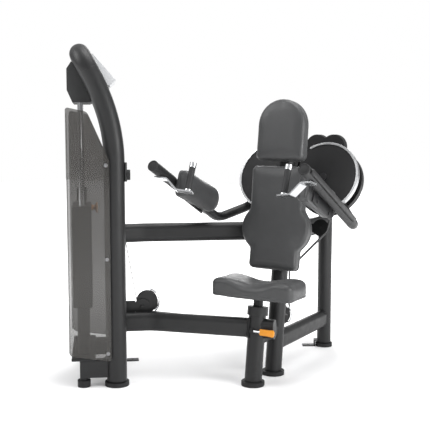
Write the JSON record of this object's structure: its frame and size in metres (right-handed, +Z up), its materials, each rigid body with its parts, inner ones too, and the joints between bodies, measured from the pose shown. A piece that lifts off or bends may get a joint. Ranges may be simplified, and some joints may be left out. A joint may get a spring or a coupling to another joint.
{
  "type": "lateral raise machine",
  "caption": "Seated weight-stack machine: two forward arms with pads swing outward and up against a belt-driven stack in a leaning tube tower.",
  "frame": {"origin": "on the floor, under the foot of the front seat post", "axes": "+Z up, -Y the way the user faces, +X towards the user's left; the seat and arms are symmetric about X = 0"},
  "size_m": [1.5421, 1.5078, 1.7312],
  "materials": {
    "frame_paint": "satin powder coat, charcoal",
    "housing_grey": "satin grey paint",
    "visor_silver": "light silver moulding",
    "shroud_smoke": "smoked clear sheet",
    "plate_black": "black painted iron",
    "rod_chrome": "polished",
    "handle_chrome": "polished",
    "rubber_black": "matte",
    "grip_rubber": "ribbed matte",
    "cover_dark": "moulded, slight gloss",
    "ring_silver": "satin silver",
    "pad_vinyl": "grey vinyl",
    "pad_board": "black backing board",
    "amber": "amber orange moulding",
    "bolt_steel": "black oxide",
    "pulley_black": "moulded nylon",
    "belt_black": "flat belt"
  },
  "bodies": {
    "frame": {"tower_near_leg": "frame_paint", "tower_far_leg": "frame_paint", "tower_crown": "frame_paint", "tower_cross_members": "frame_paint", "tower_base_rails": "frame_paint", "tower_rear_sill": "frame_paint", "base_beam": "frame_paint", "upper_beam": "frame_paint", "front_post": "frame_paint", "front_post_collar": "frame_paint", "post_link": "frame_paint", "rear_post": "frame_paint", "rear_upright": "frame_paint", "rear_rail": "frame_paint", "upper_spine": "frame_paint", "pivot_cross": "frame_paint", "floor_tabs": "frame_paint", "tower_housing": "housing_grey", "side_plate": "housing_grey", "top_visor": "visor_silver", "shroud_near": "shroud_smoke", "shroud_far": "shroud_smoke", "weight_plates": "plate_black", "guide_rods": "rod_chrome", "stack_risers": "rubber_black", "feet": "rubber_black", "side_bumper": "rubber_black", "shroud_bolts": "bolt_steel", "hub_bolts": "bolt_steel", "front_covers": "cover_dark", "rear_housings": "cover_dark", "crown_covers": "cover_dark", "ring_trims": "ring_silver", "back_pad": "pad_vinyl", "headrest": "pad_vinyl", "back_plates": "pad_board", "drive_belt": "belt_black", "cam_belts": "belt_black"},
    "left_arm_body": {"left_arm": "frame_paint", "left_handle_bracket": "handle_chrome", "left_handle_grip": "grip_rubber", "left_arm_pad": "pad_vinyl", "left_pad_plate": "bolt_steel"},
    "right_arm_body": {"right_arm": "frame_paint", "right_handle_bracket": "handle_chrome", "right_handle_grip": "grip_rubber", "right_arm_pad": "pad_vinyl", "right_pad_plate": "bolt_steel"},
    "carriage_body": {"weight_carriage": "plate_black"},
    "pin_body": {"selector_pin": "amber"},
    "yoke_body": {"yoke": "bolt_steel"},
    "seat_body": {"seat_carrier": "rod_chrome", "seat_pad": "pad_vinyl"},
    "lever_body": {"seat_lever": "amber"},
    "top_wheel": {"top_pulley": "pulley_black"},
    "guide_wheel": {"guide_pulley": "pulley_black"},
    "rear_wheel": {"rear_pulley": "pulley_black"},
    "left_wheel": {"left_redirect_pulley": "pulley_black"},
    "right_wheel": {"right_redirect_pulley": "pulley_black"}
  },
  "joints": [
    {"name": "left_arm_raise", "type": "hinge", "parent": "frame", "child": "left_arm_body", "pos_m": [0.159, 0.498, 1.051], "axis": [0, -0.9336, 0.3584], "range_deg": [0, 80]},
    {"name": "right_arm_raise", "type": "hinge", "parent": "frame", "child": "right_arm_body", "pos_m": [-0.159, 0.498, 1.051], "axis": [0, 0.9336, -0.3584], "range_deg": [0, 80]},
    {"name": "stack_lift", "type": "slide", "parent": "frame", "child": "carriage_body", "axis": [0, 0, 1], "range_m": [0, 0.125], "deforming": ["drive_belt"]},
    {"name": "yoke_lift", "type": "slide", "parent": "frame", "child": "yoke_body", "axis": [0, 0, 1], "range_m": [0, 0.125], "deforming": ["cam_belts"]},
    {"name": "selector_pin_pull", "type": "slide", "parent": "carriage_body", "child": "pin_body", "axis": [0.7716, 0.6361, 0], "range_m": [0, 0.065]},
    {"name": "seat_height", "type": "slide", "parent": "frame", "child": "seat_body", "axis": [0, 0.1305, 0.9914], "range_m": [-0.035, 0.1]},
    {"name": "seat_lever_lift", "type": "hinge", "parent": "frame", "child": "lever_body", "pos_m": [0, -0.015, 0.2844], "axis": [0, -0.9914, 0.1305], "range_deg": [0, 25], "stiffness_Nm_per_rad": 2, "springref_deg": -11.46},
    {"name": "top_pulley_spin", "type": "hinge", "parent": "frame", "child": "top_wheel", "pos_m": [-0.83493, -0.27103, 1.53], "axis": [-0.6361, 0.7716, 0], "range_deg": [0, 176]},
    {"name": "guide_pulley_spin", "type": "hinge", "parent": "frame", "child": "guide_wheel", "pos_m": [-0.60576, -0.08211, 0.386], "axis": [-0.6361, 0.7716, 0], "range_deg": [-134, 0]},
    {"name": "rear_pulley_spin", "type": "hinge", "parent": "frame", "child": "rear_wheel", "pos_m": [-0.04167, 0.38289, 0.29], "axis": [-0.6361, 0.7716, 0], "range_deg": [-134, 0]},
    {"name": "left_redirect_spin", "type": "hinge", "parent": "frame", "child": "left_wheel", "pos_m": [0.15, 0.4944, 0.77067], "axis": [0, -0.9336, 0.3584], "range_deg": [0, 114]},
    {"name": "right_redirect_spin", "type": "hinge", "parent": "frame", "child": "right_wheel", "pos_m": [-0.15, 0.4944, 0.77067], "axis": [0, 0.9336, -0.3584], "range_deg": [0, 114]}
  ],
  "couplings": [
    {"joint": "right_arm_raise", "follows": "left_arm_raise", "ratio": 1},
    {"joint": "stack_lift", "follows": "left_arm_raise", "m_per_rad": 0.0895},
    {"joint": "yoke_lift", "follows": "left_arm_raise", "m_per_rad": 0.0895},
    {"joint": "top_pulley_spin", "follows": "left_arm_raise", "ratio": 2.1829},
    {"joint": "guide_pulley_spin", "follows": "left_arm_raise", "ratio": -1.6574},
    {"joint": "rear_pulley_spin", "follows": "left_arm_raise", "ratio": -1.6574},
    {"joint": "left_redirect_spin", "follows": "left_arm_raise", "ratio": 1.4151},
    {"joint": "right_redirect_spin", "follows": "left_arm_raise", "ratio": 1.4151}
  ]
}
